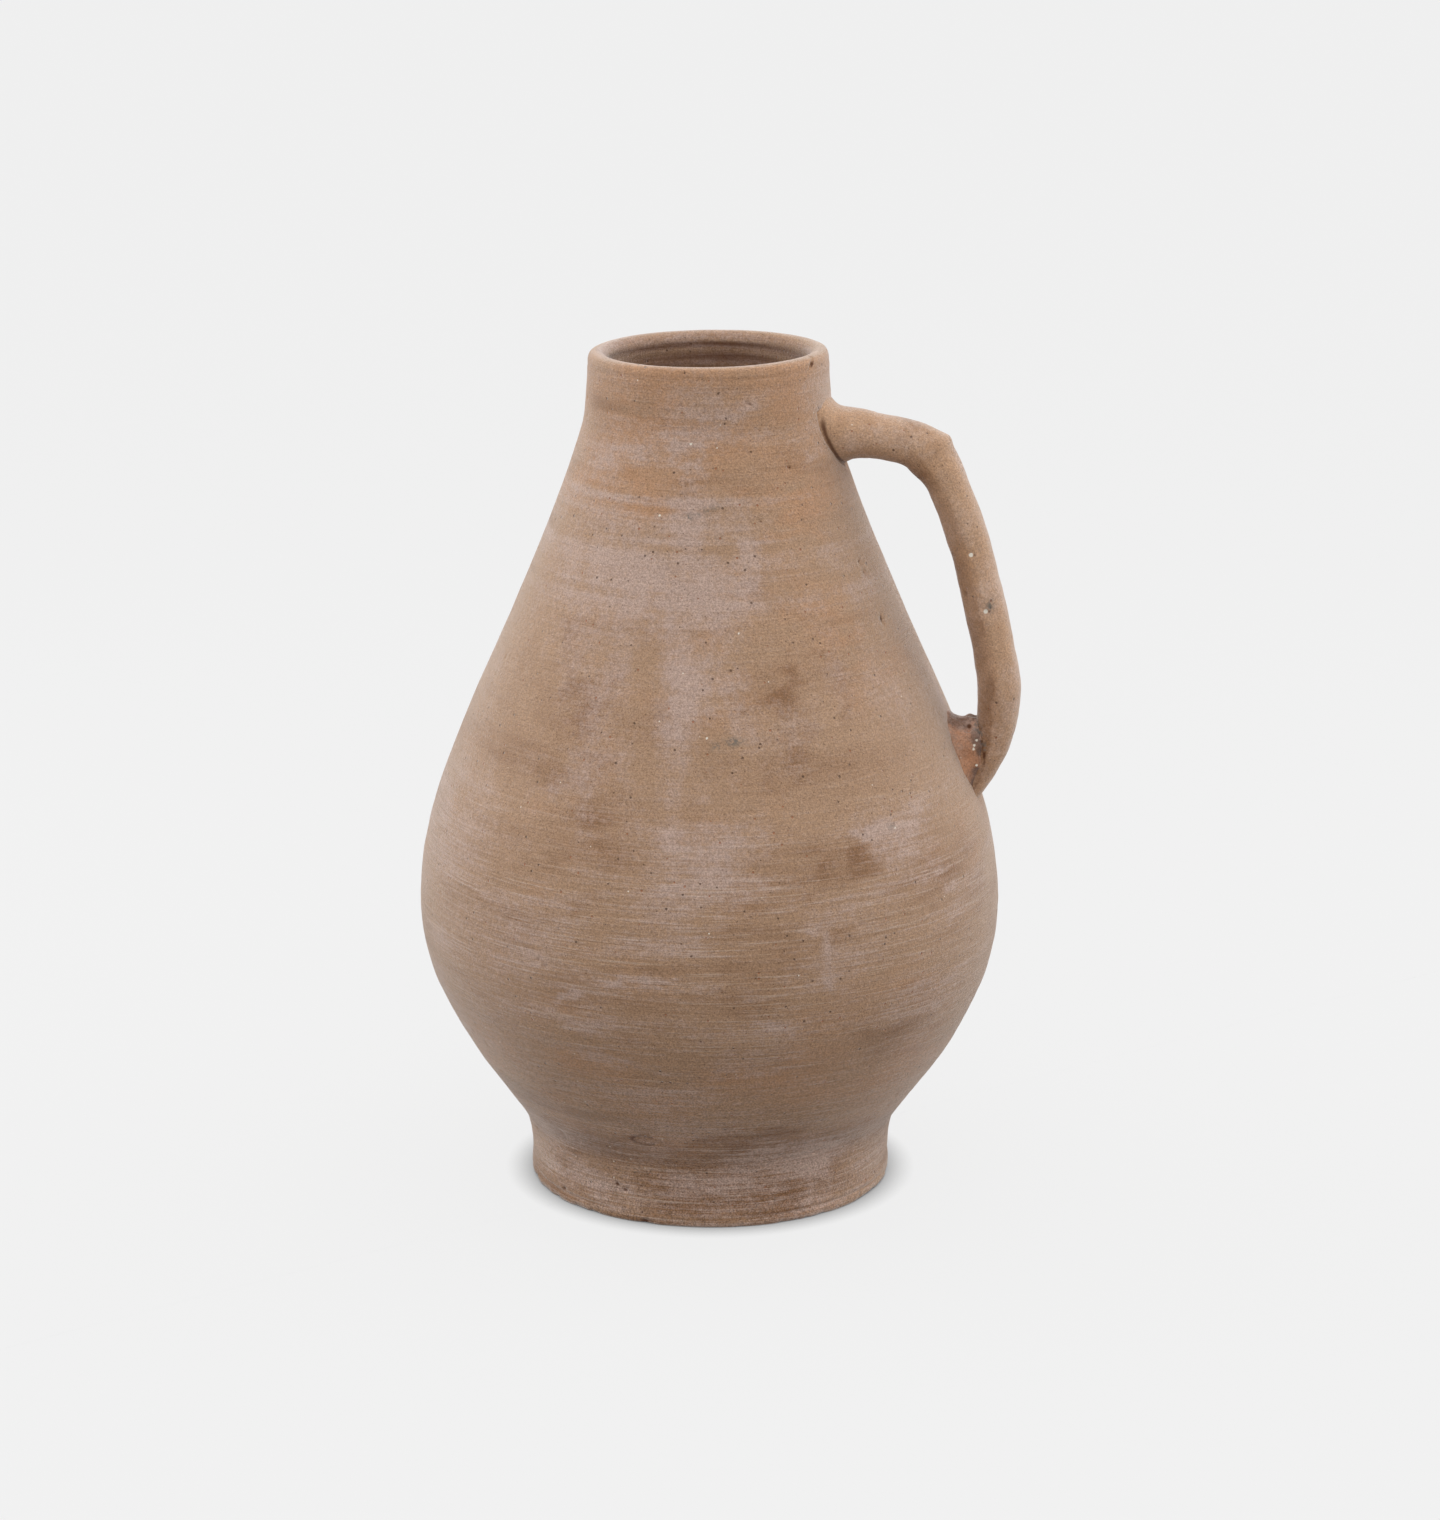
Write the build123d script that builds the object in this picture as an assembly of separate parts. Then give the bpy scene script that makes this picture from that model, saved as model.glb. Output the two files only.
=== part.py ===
from build123d import *
import os

# Terracotta pitcher. Millimetres, +Z up, origin on the vessel's axis in the plane the foot stands on.
# The thrown sections turn about Z, and the handle lies in the XZ plane on the +X side.

# Heights
rim_height = 380.0
foot_seam_height = 31.5
belly_seam_height = 166.0
neck_seam_height = 345.0
recess_height = 18.0
floor_height = 28.0

# Foot ring
base_edge_radius = 80.4
foot_radius = 81.9
base_bevel_height = 3.6
groove_depth = 0.8
recess_radius = 67.0
socket_radius_low = 74.5
socket_radius_high = 76.5

# Neck and lip
mouth_radius = 44.8
mouth_land_low = 352.0
mouth_land_high = 375.5
lip_outer_radius = 52.4
lip_crest_radius = 48.7
lip_groove_height = 376.0
lip_groove_depth = 0.7

# Outer wall between the base groove and the lip groove, as (radius, height)
outer_wall = [
    (81.5, 5.4),
    (81.6, 17.0),
    (85.1, 31.5),
    (93.6, 44.0),
    (110.1, 68.0),
    (126.4, 102.0),
    (130.8, 130.0),
    (125.8, 168.0),
    (108.9, 215.0),
    (86.7, 265.0),
    (68.1, 310.0),
    (57.0, 341.0),
    (54.4, 350.5),
    (53.4, 361.0),
    (lip_outer_radius, lip_groove_height - 1.0),
]

# Inner wall from the mouth down to the floor, as (radius, height)
inner_wall = [
    (mouth_radius, mouth_land_low),
    (45.1, 347.5),
    (48.2, 339.0),
    (59.4, 310.0),
    (77.6, 265.0),
    (99.7, 215.0),
    (116.6, 168.0),
    (121.6, 130.0),
    (117.0, 102.0),
    (100.8, 68.0),
    (82.6, 44.0),
    (70.0, 32.4),
    (58.0, floor_height),
]

# Luted joints: a tapered tongue on the lower section, a matching groove in the upper one
tongue_root_width = 4.2
tongue_tip_width = 3.0
belly_tongue_height = 5.0
neck_tongue_height = 3.5
belly_tongue_radius = 121.5
neck_tongue_radius = 50.9

# Handle centreline in the XZ plane, from inside the neck to inside the belly, as (x, z)
handle_path = [
    (46.0, 345.0),
    (58.0, 344.6),
    (72.0, 343.0),
    (85.0, 340.8),
    (96.2, 336.2),
    (104.5, 323.6),
    (111.0, 308.4),
    (117.1, 286.6),
    (122.7, 264.8),
    (127.6, 242.4),
    (129.0, 226.0),
    (127.8, 213.0),
    (122.8, 198.0),
    (117.0, 186.5),
    (110.0, 176.0),
]

# Handle section along that path: distance from the neck end, thickness in the XZ plane, width along Y
handle_sections = [
    (0.0, 22.0, 28.0),
    (26.0, 20.0, 25.5),
    (52.0, 22.4, 24.0),
    (68.0, 17.4, 23.5),
    (104.0, 18.4, 23.0),
    (172.0, 18.2, 22.0),
    (190.0, 16.8, 21.0),
    (206.0, 13.0, 18.0),
    (225.0, 9.0, 14.0),
]
handle_section_count = 27

# Clay pressed round the handle's ends: x, z, height, width along Y
top_wad_stations = [
    (40.0, 345.0, 31.5, 47.0),
    (55.0, 344.6, 27.2, 39.0),
    (65.0, 344.1, 22.8, 31.0),
    (74.0, 342.8, 21.0, 26.8),
]
bottom_wad_stations = [
    (98.0, 198.5, 37.0, 23.0),
    (110.0, 200.0, 33.5, 19.5),
    (117.0, 201.8, 31.5, 17.5),
    (123.0, 204.0, 29.0, 16.0),
]


def joint_line(radius, height, tongue_height):
    """Half-plane outline below one tongue-and-groove joint, as (radius, height) points."""
    root = tongue_root_width / 2
    tip = tongue_tip_width / 2
    return [
        (200.0, height),
        (radius + root, height),
        (radius + tip, height + tongue_height),
        (radius - tip, height + tongue_height),
        (radius - root, height),
        (-1.0, height),
    ]


def below(points):
    """Face on the XZ plane holding everything under a joint line."""
    outline = points + [(-1.0, -10.0), (200.0, -10.0)]
    edges = Polyline(outline, close=True)
    return Plane.XZ * make_face(edges)


def turned(face):
    """Solid of revolution about the vessel's axis, its seam on the side away from the handle."""
    return Rot(Z=180) * revolve(face, Axis.Z, 360)


def ellipse_on(plane, height, width):
    """Oval section: height along the plane's x direction, width along its y direction."""
    return plane * Ellipse(height / 2, width / 2)


def section_at(distance):
    """Handle thickness and width at a distance along its path."""
    for start, end in zip(handle_sections, handle_sections[1:]):
        if distance <= end[0]:
            break
    share = min((distance - start[0]) / (end[0] - start[0]), 1.0)
    thickness = start[1] + share * (end[1] - start[1])
    width = start[2] + share * (end[2] - start[2])
    return thickness, width


def wall_face(inner_edges):
    """Outline of the whole vessel from its axis to the outer wall."""
    lip_outside = Bezier(
        (lip_outer_radius, lip_groove_height + 1.0),
        (lip_outer_radius, rim_height),
        (lip_crest_radius, rim_height),
    )
    lip_inside = Bezier(
        (lip_crest_radius, rim_height),
        (mouth_radius, rim_height),
        (mouth_radius, mouth_land_high),
    )
    base = Polyline(
        (recess_radius, 0.0),
        (base_edge_radius, 0.0),
        (foot_radius, base_bevel_height),
        (foot_radius - groove_depth, base_bevel_height + 0.9),
        outer_wall[0],
    )
    outer = Spline(outer_wall)
    lip_groove = Polyline(
        outer_wall[-1],
        (lip_outer_radius - lip_groove_depth, lip_groove_height),
        (lip_outer_radius, lip_groove_height + 1.0),
    )
    recess = Polyline(
        (0.0, recess_height),
        (recess_radius, recess_height),
        (recess_radius, 0.0),
    )
    outside = [recess, base, outer, lip_groove, lip_outside, lip_inside]
    return Plane.XZ * make_face(outside + inner_edges)


# Hollow vessel outline
mouth_land = Line((mouth_radius, mouth_land_high), (mouth_radius, mouth_land_low))
inside = Spline(inner_wall)
floor_line = Line((58.0, floor_height), (0.0, floor_height))
axis_line = Line((0.0, floor_height), (0.0, recess_height))
wall = wall_face([mouth_land, inside, floor_line, axis_line])

# The same vessel with its inside filled, used to trim the handle to the outer wall
mouth_lid = Line((mouth_radius, mouth_land_high), (0.0, mouth_land_high))
core_line = Line((0.0, mouth_land_high), (0.0, recess_height))
solid_vessel = turned(wall_face([mouth_lid, core_line]))

# Joints that split the wall into the four thrown sections
socket = [
    (200.0, foot_seam_height),
    (socket_radius_high, foot_seam_height),
    (socket_radius_low, recess_height),
    (-1.0, recess_height),
]
under_socket = below(socket)
under_belly = below(joint_line(belly_tongue_radius, belly_seam_height, belly_tongue_height))
under_neck = below(joint_line(neck_tongue_radius, neck_seam_height, neck_tongue_height))

foot_ring = turned(wall & under_socket)
lower_body = turned((wall & under_belly) - under_socket)
upper_body = turned((wall & under_neck) - under_belly)
neck = turned(wall - under_neck)

# Handle, pulled along its path and trimmed to the outer wall
centreline = Spline([(x, 0.0, z) for x, z in handle_path])
sections = []
for i in range(handle_section_count):
    fraction = i / (handle_section_count - 1)
    point = centreline @ fraction
    along = centreline % fraction
    thickness, width = section_at(fraction * centreline.length)
    station = Plane(origin=point, x_dir=(along.Z, 0.0, -along.X), z_dir=along)
    sections.append(ellipse_on(station, thickness, width))
handle = loft(sections) - solid_vessel

# Clay wads, trimmed to the wall and the handle
wads = []
for stations in (top_wad_stations, bottom_wad_stations):
    ovals = []
    for x, z, height, width in stations:
        station = Plane(origin=(x, 0.0, z), x_dir=(0, 0, 1), z_dir=(1, 0, 0))
        ovals.append(ellipse_on(station, height, width))
    wads.append(loft(ovals) - solid_vessel - handle)
handle_top_wad, handle_bottom_wad = wads

nodes = {
    "foot_ring": foot_ring,
    "lower_body": lower_body,
    "upper_body": upper_body,
    "neck": neck,
    "handle": handle,
    "handle_top_wad": handle_top_wad,
    "handle_bottom_wad": handle_bottom_wad,
}

os.makedirs("parts", exist_ok=True)
for name, shape in nodes.items():
    export_step(shape, f"parts/{name}.step")
    box = shape.bounding_box()
    print(name, len(shape.solids()), round(shape.volume), box.min, box.max)
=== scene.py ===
import math

import bpy
import numpy as np
from mathutils import Matrix, Vector


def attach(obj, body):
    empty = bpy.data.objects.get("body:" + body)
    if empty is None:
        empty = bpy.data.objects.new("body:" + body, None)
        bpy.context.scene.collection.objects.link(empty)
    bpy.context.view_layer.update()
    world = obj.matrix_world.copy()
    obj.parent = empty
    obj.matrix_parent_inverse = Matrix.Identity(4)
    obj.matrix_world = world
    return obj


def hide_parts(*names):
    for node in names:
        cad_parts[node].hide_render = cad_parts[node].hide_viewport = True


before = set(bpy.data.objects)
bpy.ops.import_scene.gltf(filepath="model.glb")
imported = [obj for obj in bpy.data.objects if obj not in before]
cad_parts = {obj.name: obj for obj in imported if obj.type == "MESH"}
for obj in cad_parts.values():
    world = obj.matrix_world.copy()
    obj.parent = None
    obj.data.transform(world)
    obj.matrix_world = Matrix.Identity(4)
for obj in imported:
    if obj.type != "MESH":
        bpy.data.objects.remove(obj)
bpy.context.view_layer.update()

# Terracotta pitcher. Lengths below are in millimetres and become metres when a mesh is made.
# Bearings are degrees about +Z from +X, where the handle is. The camera stands at FRONT.
MM = 0.001
FRONT = -82.0
# Points round the vessel, crowded towards the side that the camera sees
COLUMNS = 560
COLUMN_CROWDING = 0.35

# Heights of the joints between the thrown sections, of the rim and of the two grooves
FOOT_SEAM = 31.5
BELLY_SEAM = 166.0
NECK_SEAM = 345.0
RIM = 380.0
BASE_GROOVE = 4.6
LIP_GROOVE = 374.6
# How far the whole pot leans to the camera's right at each height
LEAN = [(0, 0.6), (31, 0.5), (70, 0.8), (110, 0.1), (130, -0.1), (250, -0.4), (RIM, -1.2)]

# Outer wall from the edge the foot stands on, up and over the lip, as (radius, height)
OUTER = [
    (81.1, 0.0),
    (81.8, 0.8),
    (82.2, 2.6),
    (82.1, 5.6),
    (81.8, 10.0),
    (82.1, 17.0),
    (83.6, 26.0),
    (85.6, FOOT_SEAM),
    (94.1, 44.0),
    (110.6, 68.0),
    (126.6, 102.0),
    (130.8, 130.0),
    (125.8, 168.0),
    (108.9, 215.0),
    (86.7, 265.0),
    (68.1, 310.0),
    (57.4, 341.0),
    (54.9, 350.5),
    (53.9, 361.0),
    (53.4, 369.0),
    (53.1, 375.0),
    (52.8, 377.4),
    (51.9, 379.2),
    (49.4, RIM),
    (46.6, 379.5),
    (45.1, 377.4),
    (44.8, 372.0),
]
# Inner wall from under the lip down to the middle of the floor
INNER = [
    (44.8, 372.0),
    (44.8, 352.0),
    (45.1, 347.5),
    (48.2, 339.0),
    (59.4, 310.0),
    (77.6, 265.0),
    (99.7, 215.0),
    (116.6, 168.0),
    (121.6, 130.0),
    (117.0, 102.0),
    (100.8, 68.0),
    (82.6, 44.0),
    (70.0, 32.4),
    (58.0, 28.0),
    (30.0, 27.6),
    (0.0, 27.6),
]


def smoothstep(low, high, value):
    """0 at low, 1 at high, and an even ease between. Low may be the larger."""
    t = np.clip((value - low) / (high - low), 0.0, 1.0)
    return t * t * (3.0 - 2.0 * t)


def bell(value, width):
    """1 at 0, falling away smoothly on either side over about the width."""
    return np.exp(-((value / width) ** 2))


def by_height(height, steps):
    """A value read from (height, value) steps."""
    return np.interp(height, *zip(*steps))


def scrambled(x, y, z, seed):
    """A repeatable value from -1 to 1 for each whole-number point."""
    h = (x * 374761393 + y * 668265263 + z * 2246822519 + seed * 3266489917) & 0xFFFFFFFF
    h = ((h ^ (h >> 15)) * 2654435761) & 0xFFFFFFFF
    h = ((h ^ (h >> 13)) * 2246822519) & 0xFFFFFFFF
    h = h ^ (h >> 16)
    return h / 2147483648.0 - 1.0


def noise(points, size, seed=0):
    """Smooth noise from -1 to 1, in lumps of about size millimetres, or of a size for each axis."""
    p = points / np.asarray(size, float) + 512.0
    cell = np.floor(p).astype(np.int64)
    t = p - cell
    t = t * t * t * (t * (t * 6.0 - 15.0) + 10.0)
    total = np.zeros(p.shape[:-1])
    for corner in np.ndindex(2, 2, 2):
        weight = np.ones(p.shape[:-1])
        for axis in range(3):
            share = t[..., axis]
            weight = weight * (share if corner[axis] else 1.0 - share)
        at = [cell[..., axis] + corner[axis] for axis in range(3)]
        total += weight * scrambled(*at, seed)
    return total


def layered(points, size, seed=0, layers=3):
    """Noise with finer, fainter layers added."""
    size = np.asarray(size, float)
    return sum(noise(points, size / 2**i, seed + i) / 2**i for i in range(layers))


class Curve:
    """A smooth curve through (radius, height) points, read by the distance along it."""

    def __init__(self, points):
        p = np.array(points, float)
        gaps = np.linalg.norm(np.diff(p, axis=0), axis=1)
        knots = np.concatenate([[0.0], np.cumsum(np.sqrt(gaps))])
        slopes = np.diff(p, axis=0) / np.diff(knots)[:, None]
        left, right = np.diff(knots)[:-1, None], np.diff(knots)[1:, None]
        inside = (slopes[:-1] * right + slopes[1:] * left) / (left + right)
        tangents = np.vstack([slopes[:1], inside, slopes[-1:]])
        fine = np.linspace(0.0, knots[-1], 6000)
        i = np.clip(np.searchsorted(knots, fine) - 1, 0, len(p) - 2)
        h = (knots[i + 1] - knots[i])[:, None]
        t = (fine - knots[i])[:, None] / h
        self.path = (
            (2 * t**3 - 3 * t**2 + 1) * p[i]
            + (t**3 - 2 * t**2 + t) * h * tangents[i]
            + (3 * t**2 - 2 * t**3) * p[i + 1]
            + (t**3 - t**2) * h * tangents[i + 1]
        )
        steps = np.linalg.norm(np.diff(self.path, axis=0), axis=1)
        self.distance = np.concatenate([[0.0], np.cumsum(steps)])
        self.length = self.distance[-1]
        self.stations = np.interp(knots, fine, self.distance)

    def at(self, distance):
        """Points at distances along the curve."""
        return np.stack([np.interp(distance, self.distance, self.path[:, k]) for k in (0, 1)], -1)

    def way(self, distance, gap):
        """Unit direction of the curve, taken over a gap to either side."""
        along = self.at(distance + gap) - self.at(distance - gap)
        return along / np.linalg.norm(along, axis=1)[:, None]

    def point(self, distance):
        """The point at one distance, as (radius, height)."""
        return tuple(self.at(np.array([distance]))[0])

    def find(self, height):
        """Distance along the curve of the first point at a height."""
        z = self.path[:, 1] - height
        crossing = np.nonzero(z[:-1] * z[1:] <= 0.0)[0][0]
        return self.distance[crossing]


outer_curve = Curve(OUTER)
inner_curve = Curve(INNER)
wall_heights = np.linspace(6.0, 372.0, 800)
wall_distances = [outer_curve.find(z) for z in wall_heights]
wall_radii = outer_curve.at(np.array(wall_distances))[:, 0]


def wall_radius(height):
    """Outer radius of the pot at a height."""
    return np.interp(height, wall_heights, wall_radii)


# Marks on the outer wall: bearing, height, half-length round the pot, half-height, tilt in degrees
PITS = [
    (-21.0, 292.3, 1.3, 1.1, 0, 0.9), (-20.2, 287.4, 1.0, 1.9, 10, 0.8),
    (-20.0, 267.7, 1.3, 2.4, -10, 1.0), (-45.7, 336.0, 1.6, 0.9, -50, 0.9),
    (-62.7, 315.8, 1.8, 0.8, -45, 0.8), (-73.4, 272.2, 1.2, 0.8, -30, 0.6),
    (-65.0, 232.0, 1.4, 0.8, 0, 0.8), (-62.5, 219.7, 1.0, 1.0, 0, 0.8),
    (-73.2, 131.5, 1.5, 0.9, -20, 0.8), (-79.7, 126.1, 1.5, 0.7, -35, 0.8),
    (-65.4, 191.1, 1.6, 0.7, -15, 0.7), (-51.7, 150.2, 1.5, 0.7, -10, 0.8),
    (-62.3, 171.1, 0.8, 1.2, 10, 0.7), (-116.4, 132.9, 0.9, 0.9, 0, 0.7),
    (-114.6, 130.5, 0.9, 0.9, 0, 0.7), (-105.7, 130.5, 1.2, 0.8, 0, 0.7),
    (-111.6, 176.6, 1.0, 0.7, -20, 0.7), (-126.2, 185.6, 1.1, 0.8, 20, 0.6),
    (-94.7, 363.8, 0.8, 0.8, 0, 0.7), (-63.4, 364.4, 1.6, 0.9, -35, 0.7),
    (-60.9, 33.6, 1.8, 0.6, 5, 1.0), (-49.2, 32.3, 2.4, 0.7, 12, 1.0),
    (-135.1, 6.2, 1.7, 0.9, 0, 1.0), (-112.1, 16.4, 1.2, 1.6, 15, 1.1),
    (-109.2, 14.3, 1.6, 1.0, -30, 1.1), (-103.6, 17.5, 1.0, 0.8, 0, 0.8),
    (-102.5, 1.0, 3.2, 1.4, 0, 1.2), (-23.5, 377.6, 0.6, 3.2, -50, 1.4),
]
# Open loop scratched just above the foot: bearing, height and half-sizes
LOOP_SCRATCH = (-99.4, 44.2, 6.0, 2.6)
# Crease pinched where the top of the handle meets the wall, as bearings and heights down it
CREASE = [
    (-19.0, 355.5), (-17.8, 349.5), (-15.5, 343.5), (-10.0, 337.0),
    (-4.0, 332.0), (2.5, 329.0), (9.0, 329.0),
]


def polar(points):
    """Bearing, height and radius of points."""
    bearing = np.degrees(np.arctan2(points[..., 1], points[..., 0]))
    return bearing, points[..., 2], np.hypot(points[..., 0], points[..., 1])


def mark(bearing, height, at, long, tall, tilt=0.0):
    """Soft oval from 0 to 1 on the outer wall, for arrays of bearing and height."""
    radius = wall_radius(height)
    round_way = (bearing - at[0] + 180.0) % 360.0 - 180.0
    u = np.radians(round_way) * radius
    v = (height - at[1]) * 1.1
    c, s = math.cos(math.radians(tilt)), math.sin(math.radians(tilt))
    a = (u * c + v * s) / long
    b = (v * c - u * s) / tall
    return np.exp(-(a * a + b * b))


def stretch_distance(u, v, du, dv):
    """Distance from (u, v) to the straight stretch from the origin to (du, dv)."""
    t = np.clip((u * du + v * dv) / (du * du + dv * dv), 0.0, 1.0)
    return np.hypot(u - t * du, v - t * dv)


def stroke(bearing, height, line, width):
    """Soft line from 0 to 1 along points given as bearing and height."""
    radius = wall_radius(height)
    nearest = np.full(bearing.shape, 1e3)
    for (b0, z0), (b1, z1) in zip(line[:-1], line[1:]):
        scale = math.radians(1.0) * float(wall_radius((z0 + z1) / 2))
        u = np.radians((bearing - b0 + 180.0) % 360.0 - 180.0) * radius
        nearest = np.minimum(nearest, stretch_distance(u, height - z0, (b1 - b0) * scale, z1 - z0))
    return bell(nearest, width)


def scattered_pits(bearing, height, count, seed):
    """Many small random pits over the outer wall, as a depth in millimetres."""
    pick = np.random.default_rng(seed)
    depth = np.zeros_like(bearing)
    for _ in range(count):
        at = (pick.uniform(-180.0, 180.0), pick.uniform(8.0, 372.0))
        size = pick.uniform(0.7, 1.5)
        near = np.abs(height - at[1]) < 6.0
        long, tilt = size * pick.uniform(0.8, 1.6), pick.uniform(-60, 60)
        pit = pick.uniform(0.15, 0.5) * mark(bearing[near], height[near], at, long, size, tilt)
        depth[near] = np.maximum(depth[near], pit)
    return depth


def loop_scratch(bearing, height):
    """Open oval scratch above the foot, from 0 to 1."""
    loop_bearing, loop_height, loop_long, loop_tall = LOOP_SCRATCH
    round_way = np.radians(bearing - loop_bearing) * wall_radius(height) / loop_long
    ring = np.hypot(round_way, (height - loop_height) / loop_tall)
    return bell(ring - 1.0, 0.30) * (round_way < 0.75)


def outer_relief(points, bearing, height):
    """Height of the outer skin above the smooth wall, in millimetres."""
    turned = 1.0 - smoothstep(150.0, 190.0, height)
    swell = 0.30 * noise(points, 75.0, 1) + 0.12 * noise(points, 30.0, 2)
    rings = (0.05 + 0.05 * turned) * noise(points, (140.0, 140.0, 7.0), 3)
    fine_rings = (0.02 + 0.05 * turned) * noise(points, (70.0, 70.0, 3.2), 4)
    lumps = 0.05 * noise(points, 9.0, 5)
    relief = swell + rings + fine_rings + lumps
    neck = smoothstep(338.0, 352.0, height)
    relief += 0.10 * neck * noise(points, (60.0, 60.0, 4.5), 6)
    foot = 1.0 - smoothstep(28.0, 34.0, height)
    relief += foot * (0.12 * noise(points, (50.0, 50.0, 3.5), 7) + 0.10 * noise(points, 12.0, 8))
    base = 1.0 - smoothstep(2.0, 5.0, height)
    relief -= base * np.maximum(0.0, 0.7 * layered(points, 7.0, 9))
    grooved = smoothstep(-0.35, 0.5, noise(points, 45.0, 10) + 0.9 * mark(bearing, height, (-42, 5), 45, 30))
    relief -= 0.8 * grooved * bell(height - BASE_GROOVE - 0.5 * noise(points, 25.0, 11), 0.9)
    below_lip = height - LIP_GROOVE - 0.8 * noise(points, 30.0, 12)
    relief -= (0.16 + 0.12 * noise(points, 22.0, 13)) * bell(below_lip, 0.9)
    relief -= 1.3 * stroke(bearing, height, CREASE, 1.6)
    relief -= scattered_pits(bearing, height, 320, 21)
    for at_bearing, at_height, long, tall, tilt, depth in PITS:
        relief -= depth * mark(bearing, height, (at_bearing, at_height), long, tall, tilt)
    return relief - 0.5 * loop_scratch(bearing, height)


def inner_relief(points):
    """The same for the inside, where the thrower's finger rings were left."""
    rings = 0.32 * noise(points, (160.0, 160.0, 7.0), 31) + 0.18 * noise(points, (60.0, 60.0, 4.0), 32)
    return rings + 0.15 * noise(points, 25.0, 33) + 0.06 * noise(points, 5.0, 34)


def pot_warp(points):
    """The slight lean and tilted rim of a hand-thrown pot, for the whole vessel."""
    lean = by_height(points[..., 2], LEAN)
    tip = math.radians(FRONT + 90.0)
    sideways = points[..., 0] * math.cos(tip) + points[..., 1] * math.sin(tip)
    droop = 0.014 * sideways * smoothstep(NECK_SEAM, RIM, points[..., 2])
    warped = points.copy()
    warped[..., 0] += lean * math.cos(tip)
    warped[..., 1] += lean * math.sin(tip)
    warped[..., 2] = np.maximum(warped[..., 2] + droop, 0.0)
    return warped


spread = np.linspace(0.0, 2.0 * math.pi, COLUMNS, endpoint=False)
column_angles = math.radians(FRONT) + spread - COLUMN_CROWDING * np.sin(spread)


def skin_rows(curve, distances, kind):
    """Grid of points on the outer or inner skin, one row for each distance along its curve."""
    flat = curve.at(distances)
    along = curve.way(distances, 0.3)
    outward = np.stack([along[:, 1], -along[:, 0]], -1)
    cos, sin = np.cos(column_angles), np.sin(column_angles)
    radius, height = flat[:, :1], flat[:, 1:]
    points = np.stack([radius * cos, radius * sin, height + 0.0 * cos], -1)
    bearing = np.degrees(column_angles) + 0.0 * radius
    over_lip = smoothstep(curve.length - 12.0, curve.length, distances)[:, None] if kind == "outer" else 1.0
    relief = over_lip * inner_relief(points)
    if kind == "outer":
        relief = relief + (1.0 - over_lip) * outer_relief(points, bearing, height + 0.0 * cos)
    if kind == "inner":
        relief = relief * np.minimum(1.0, radius / 20.0)
    normal = np.stack([outward[:, :1] * cos, outward[:, :1] * sin, outward[:, 1:] + 0.0 * cos], -1)
    return pot_warp(points + normal * relief[..., None])


def grid_normals(rows):
    """Normals of a grid of points, from its neighbours along and across."""
    along = np.gradient(rows, axis=0)
    across = np.roll(rows, -1, axis=1) - np.roll(rows, 1, axis=1)
    normals = np.cross(across, along)
    return normals / np.maximum(np.linalg.norm(normals, axis=-1, keepdims=True), 1e-12)


def add_object(name, data):
    """Object with this data, put in the scene."""
    obj = bpy.data.objects.new(name, data)
    bpy.context.scene.collection.objects.link(obj)
    return obj


def new_mesh(name, vertices, faces, corner_normals=None):
    """Mesh object in metres from millimetre vertices, with its own corner normals if given."""
    mesh = bpy.data.meshes.new(name)
    mesh.from_pydata((vertices * MM).tolist(), [], faces)
    mesh.update()
    mesh.polygons.foreach_set("use_smooth", [True] * len(mesh.polygons))
    if corner_normals is not None:
        mesh.normals_split_custom_set(corner_normals)
    return add_object(name, mesh)


def skin(curve, start, end, step, kind):
    """Rows of one stretch of wall that shows, and their normals."""
    count = max(2, int(math.ceil(abs(end - start) / step)) + 1)
    distances = np.linspace(start, end, count)
    step = distances[1] - distances[0]
    reach = np.clip(np.concatenate([[start - step], distances, [end + step]]), 0.0, curve.length)
    points = skin_rows(curve, reach, kind)
    return points[1:-1], grid_normals(points)[1:-1]


def plain(*corners):
    """Rows of one stretch that a joint or the foot hides, with no relief and no normals of their own."""
    cos, sin = np.cos(column_angles), np.sin(column_angles)
    rows = [np.stack([r * cos, r * sin, z + 0.0 * cos], -1) for r, z in corners]
    return pot_warp(np.array(rows)), None


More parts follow.
